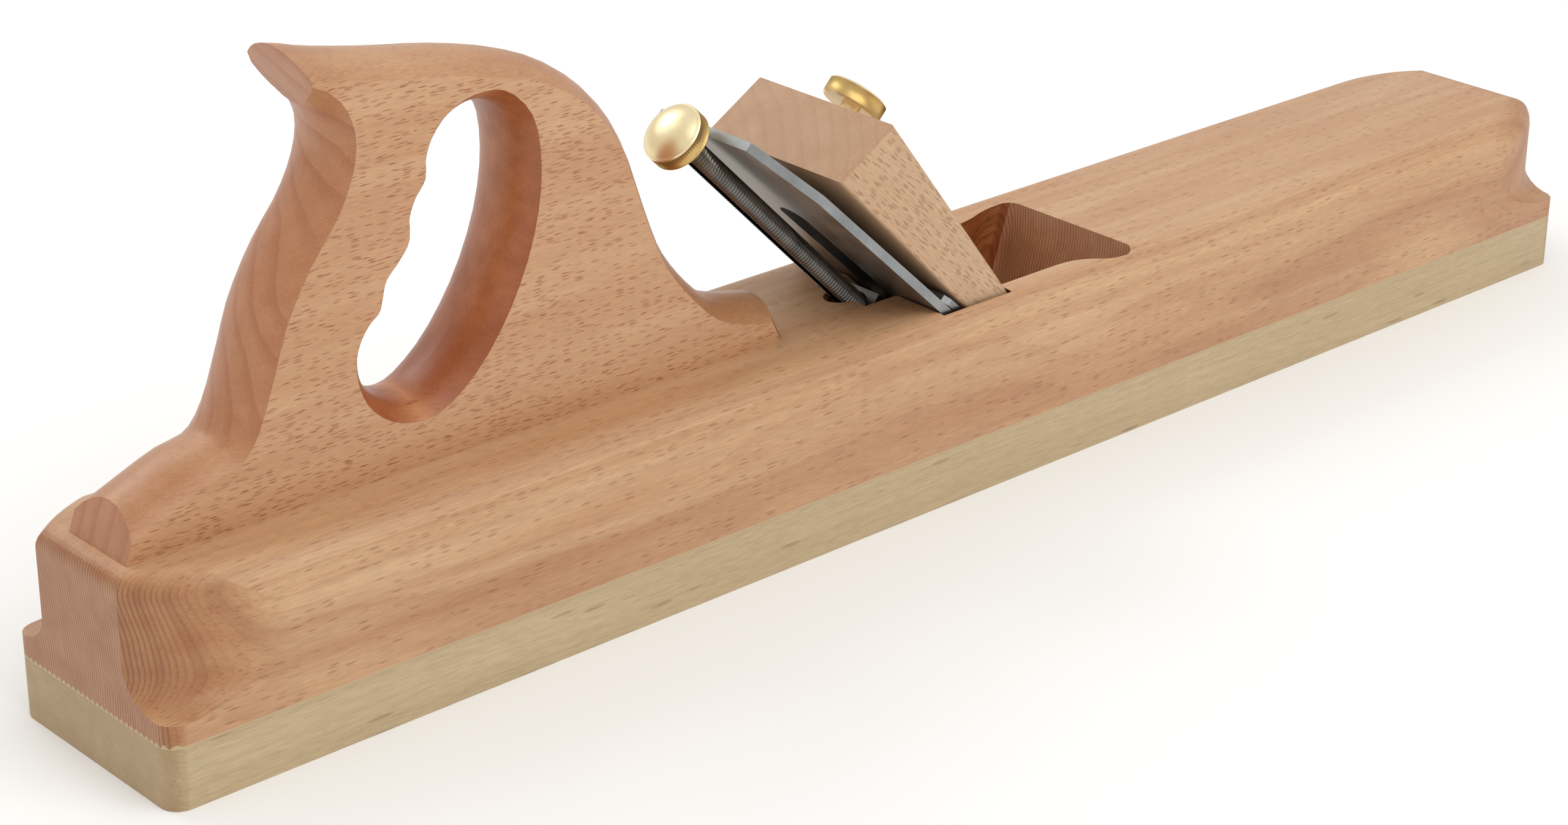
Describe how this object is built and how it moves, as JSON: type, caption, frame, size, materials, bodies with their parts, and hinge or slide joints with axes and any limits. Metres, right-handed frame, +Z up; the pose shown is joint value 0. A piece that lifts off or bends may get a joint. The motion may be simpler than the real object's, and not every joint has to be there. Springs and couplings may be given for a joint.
{
  "type": "wooden jointer hand plane",
  "caption": "Wooden jointer plane with a closed handle, scooped corners and a screw-adjusted cutting iron held by a screwed clamp block.",
  "frame": {"origin": "centre of the sole's underside", "axes": "+X along the plane to the toe, +Y across it, +Z up"},
  "size_m": [0.6, 0.076, 0.1874],
  "materials": {
    "beech": "oiled satin",
    "beech_block": "oiled satin",
    "dowel": "plain",
    "hornbeam": "oiled satin",
    "iron": "ground",
    "steel": "satin",
    "brass": "turned satin"
  },
  "bodies": {
    "stock": {"sole": "hornbeam", "body": "beech", "handle": "beech", "handle_dowel_front": "dowel", "handle_dowel_rear": "dowel", "swivel_plate": "steel", "swivel_plate_screw_low": "steel", "swivel_plate_screw_high": "steel"},
    "swivel": {"swivel_nut": "steel"},
    "iron_set": {"cutting_iron": "iron", "cap_iron": "iron", "cap_iron_boss": "brass", "cap_iron_screw": "steel", "drive_block": "steel", "thrust_washer": "brass"},
    "depth_screw": {"spindle": "steel", "depth_knob": "brass", "spindle_clip": "steel"},
    "block": {"clamp_block": "beech_block", "threaded_bush": "brass"},
    "clamp_foot": {"pressure_foot": "steel"},
    "clamp_screw": {"clamp_knob": "brass"}
  },
  "joints": [
    {"name": "lateral_tilt", "type": "hinge", "parent": "stock", "child": "swivel", "pos_m": [-0.01741, 0, 0.05507], "axis": [0.682, 0, 0.7314], "range_deg": [-0.8, 0.8]},
    {"name": "depth_travel", "type": "slide", "parent": "swivel", "child": "iron_set", "axis": [-0.7314, 0, 0.682], "range_m": [-0.0015, 0.003]},
    {"name": "depth_turn", "type": "hinge", "parent": "iron_set", "child": "depth_screw", "pos_m": [-0.01741, 0, 0.05507], "axis": [-0.7106, 0, 0.7036], "range_deg": [-435, 868]},
    {"name": "block_draw", "type": "slide", "parent": "stock", "child": "block", "axis": [-0.7314, 0, 0.682], "range_m": [0, 0.04]},
    {"name": "clamp_travel", "type": "slide", "parent": "block", "child": "clamp_foot", "axis": [0.682, 0, 0.7314], "range_m": [0, 0.004]},
    {"name": "clamp_turn", "type": "hinge", "parent": "clamp_foot", "child": "clamp_screw", "pos_m": [-0.04268, 0, 0.10274], "axis": [0.682, 0, 0.7314], "range_deg": [0, 1445]}
  ],
  "couplings": [
    {"joint": "depth_turn", "follows": "depth_travel", "rad_per_m": 5026.6},
    {"joint": "clamp_turn", "follows": "clamp_travel", "rad_per_m": 6283.2}
  ]
}
